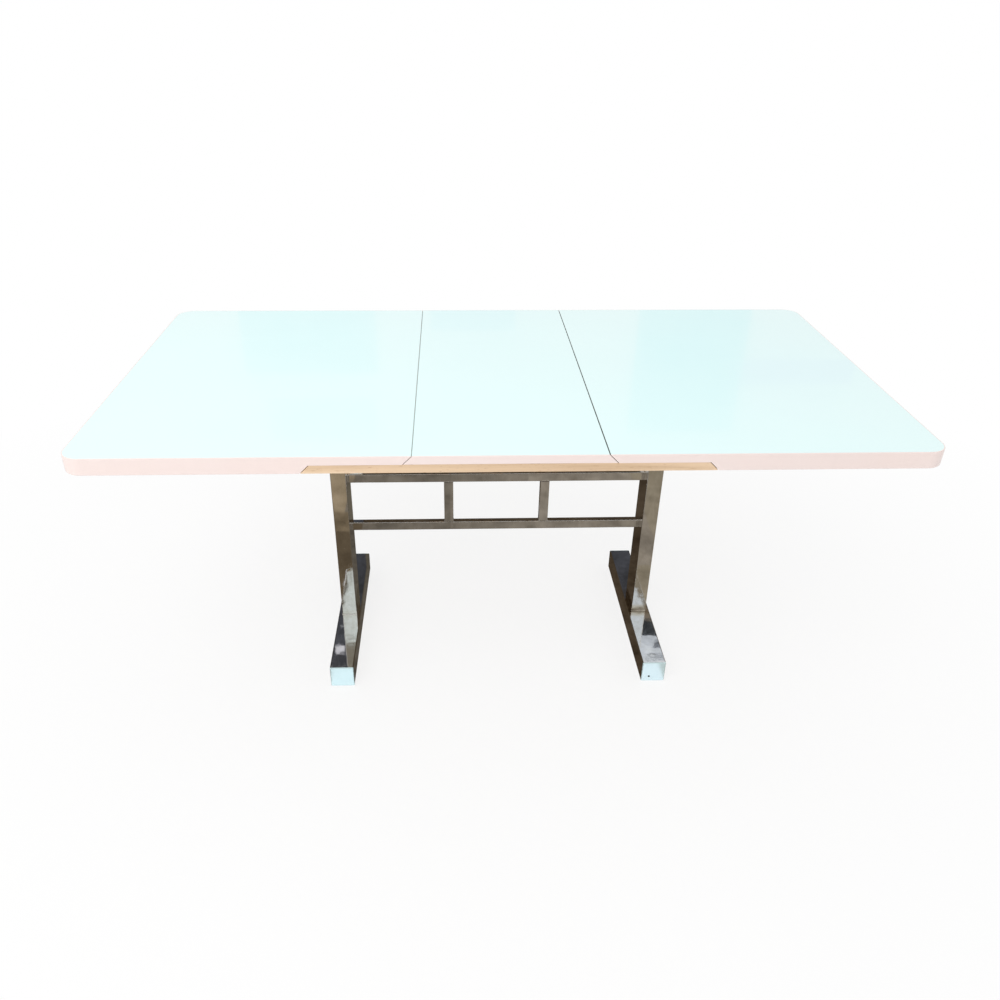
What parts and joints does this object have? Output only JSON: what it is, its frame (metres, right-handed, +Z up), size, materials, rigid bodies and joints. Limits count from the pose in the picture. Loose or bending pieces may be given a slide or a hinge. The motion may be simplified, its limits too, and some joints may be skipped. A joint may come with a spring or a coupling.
{
  "type": "extendable dining table",
  "caption": "Rectangular extendable dining table: a white gloss top that parts round a fixed centre leaf on parallel swing arms, over a chromed trestle base with long feet.",
  "frame": {"origin": "on the floor under the middle of the top", "axes": "+X along the table, +Y towards the back, +Z up"},
  "size_m": [1.69, 0.864, 0.74],
  "materials": {
    "white_gloss": "high-gloss white laminate",
    "white_edging": "satin white edge band",
    "white_board": "white-faced board",
    "rail_wood": "pale clear-lacquered beech",
    "polished_chrome": "polished chrome plate",
    "grey_paint": "grey powder coat",
    "zinc": "bright zinc plate",
    "bush_nylon": "natural nylon",
    "glide_plastic": "black moulded plastic",
    "rubber": "black rubber",
    "felt": "grey felt"
  },
  "bodies": {
    "base": {"left_foot": "polished_chrome", "right_foot": "polished_chrome", "foot_end_plates": "polished_chrome", "floor_glides": "glide_plastic", "left_upright": "polished_chrome", "right_upright": "polished_chrome", "upper_stretcher": "polished_chrome", "lower_stretcher": "polished_chrome", "left_strut": "polished_chrome", "right_strut": "polished_chrome", "left_head_tube": "grey_paint", "right_head_tube": "grey_paint", "front_channel": "grey_paint", "back_channel": "grey_paint", "channel_bushes": "bush_nylon", "rest_buffers": "rubber", "front_rail": "rail_wood", "back_rail": "rail_wood", "left_bearer": "rail_wood", "centre_bearer": "rail_wood", "right_bearer": "rail_wood", "bearer_screws": "zinc", "leaf_screws": "zinc", "leaf_board": "white_board", "leaf_laminate": "white_gloss", "leaf_edge_bands": "white_edging"},
    "left_half": {"left_board": "white_board", "left_laminate": "white_gloss", "left_lippings": "white_board", "left_edge_band": "white_edging", "left_brackets": "grey_paint", "left_bracket_screws": "zinc", "left_pivot_bolts": "zinc", "left_pivot_nuts": "zinc", "left_felt_pads": "felt"},
    "left_inner_links": {"left_inner_arms": "grey_paint", "left_inner_shaft": "zinc", "left_inner_bushes": "bush_nylon"},
    "left_outer_links": {"left_outer_arms": "grey_paint", "left_outer_shaft": "zinc", "left_outer_bushes": "bush_nylon"},
    "right_half": {"right_board": "white_board", "right_laminate": "white_gloss", "right_lippings": "white_board", "right_edge_band": "white_edging", "right_brackets": "grey_paint", "right_bracket_screws": "zinc", "right_pivot_bolts": "zinc", "right_pivot_nuts": "zinc", "right_felt_pads": "felt"},
    "right_inner_links": {"right_inner_arms": "grey_paint", "right_inner_shaft": "zinc", "right_inner_bushes": "bush_nylon"},
    "right_outer_links": {"right_outer_arms": "grey_paint", "right_outer_shaft": "zinc", "right_outer_bushes": "bush_nylon"}
  },
  "joints": [
    {"name": "left_swing", "type": "hinge", "parent": "base", "child": "left_inner_links", "pos_m": [-0.30905, 0, 0.65022], "axis": [0, 1, 0], "range_deg": [0, 107.94]},
    {"name": "left_level", "type": "hinge", "parent": "left_inner_links", "child": "left_half", "pos_m": [-0.41, 0, 0.7085], "axis": [0, 1, 0], "range_deg": [-107.94, 0]},
    {"name": "left_outer_swing", "type": "hinge", "parent": "base", "child": "left_outer_links", "pos_m": [-0.54105, 0, 0.65022], "axis": [0, 1, 0], "range_deg": [0, 107.94]},
    {"name": "right_swing", "type": "hinge", "parent": "base", "child": "right_inner_links", "pos_m": [0.30905, 0, 0.65022], "axis": [0, -1, 0], "range_deg": [0, 107.94]},
    {"name": "right_level", "type": "hinge", "parent": "right_inner_links", "child": "right_half", "pos_m": [0.41, 0, 0.7085], "axis": [0, -1, 0], "range_deg": [-107.94, 0]},
    {"name": "right_outer_swing", "type": "hinge", "parent": "base", "child": "right_outer_links", "pos_m": [0.54105, 0, 0.65022], "axis": [0, -1, 0], "range_deg": [0, 107.94]}
  ],
  "couplings": [
    {"joint": "left_level", "follows": "left_swing", "ratio": -1},
    {"joint": "left_outer_swing", "follows": "left_swing", "ratio": 1},
    {"joint": "right_level", "follows": "right_swing", "ratio": -1},
    {"joint": "right_outer_swing", "follows": "right_swing", "ratio": 1}
  ]
}
